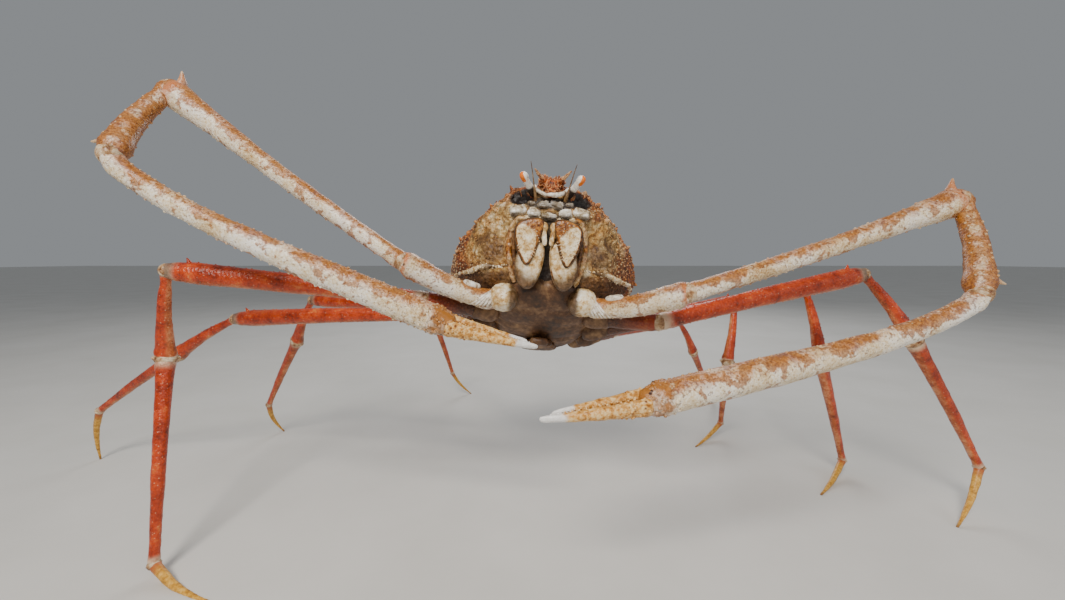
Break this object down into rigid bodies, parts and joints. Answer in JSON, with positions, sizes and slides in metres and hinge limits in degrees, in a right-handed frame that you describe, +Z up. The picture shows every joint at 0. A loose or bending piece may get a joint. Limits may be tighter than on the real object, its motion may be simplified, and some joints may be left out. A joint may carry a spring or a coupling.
{
  "type": "japanese spider crab",
  "caption": "Still, life-size spider crab standing on long jointed walking legs with its body reared up and both long claw arms raised and folded inward",
  "frame": {"origin": "on the floor under the middle of the bounding box", "axes": "+X to the crab's left, +Y to its rear so that it faces -Y, +Z up"},
  "size_m": [1.9262, 1.0945, 0.7772],
  "materials": {
    "shell": "mineralised shell, dull and granular, brown and orange over cream",
    "underside": "mineralised shell, satin, brown",
    "face": "mineralised shell, satin, cream with orange-brown edges",
    "eye": "smooth and glossy, white stalk and orange cornea",
    "claw": "mineralised shell, satin, cream below and mottled orange-brown above",
    "finger": "mineralised shell, satin, ochre with a white tip",
    "leg": "mineralised shell, satin, orange-red with pale joints",
    "foot": "horny tip, satin, ochre"
  },
  "bodies": {
    "root": {"abdomen": "underside", "antenna_L": "face", "antenna_R": "face", "carapace": "shell", "claw_L_carpus": "claw", "claw_L_finger": "finger", "claw_L_hand": "claw", "claw_L_ischium": "claw", "claw_L_merus": "claw", "claw_R_carpus": "claw", "claw_R_finger": "finger", "claw_R_hand": "claw", "claw_R_ischium": "claw", "claw_R_merus": "claw", "eye_L": "eye", "eye_R": "eye", "leg_L1_carpus": "leg", "leg_L1_dactyl": "foot", "leg_L1_ischium": "leg", "leg_L1_merus": "leg", "leg_L1_propodus": "leg", "leg_L2_carpus": "leg", "leg_L2_dactyl": "foot", "leg_L2_ischium": "leg", "leg_L2_merus": "leg", "leg_L2_propodus": "leg", "leg_L3_carpus": "leg", "leg_L3_dactyl": "foot", "leg_L3_ischium": "leg", "leg_L3_merus": "leg", "leg_L3_propodus": "leg", "leg_L4_carpus": "leg", "leg_L4_dactyl": "foot", "leg_L4_ischium": "leg", "leg_L4_merus": "leg", "leg_L4_propodus": "leg", "leg_R1_carpus": "leg", "leg_R1_dactyl": "foot", "leg_R1_ischium": "leg", "leg_R1_merus": "leg", "leg_R1_propodus": "leg", "leg_R2_carpus": "leg", "leg_R2_dactyl": "foot", "leg_R2_ischium": "leg", "leg_R2_merus": "leg", "leg_R2_propodus": "leg", "leg_R3_carpus": "leg", "leg_R3_dactyl": "foot", "leg_R3_ischium": "leg", "leg_R3_merus": "leg", "leg_R3_propodus": "leg", "leg_R4_carpus": "leg", "leg_R4_dactyl": "foot", "leg_R4_ischium": "leg", "leg_R4_merus": "leg", "leg_R4_propodus": "leg", "maxilliped_L": "face", "maxilliped_R": "face", "thorax": "underside"}
  },
  "joints": []
}
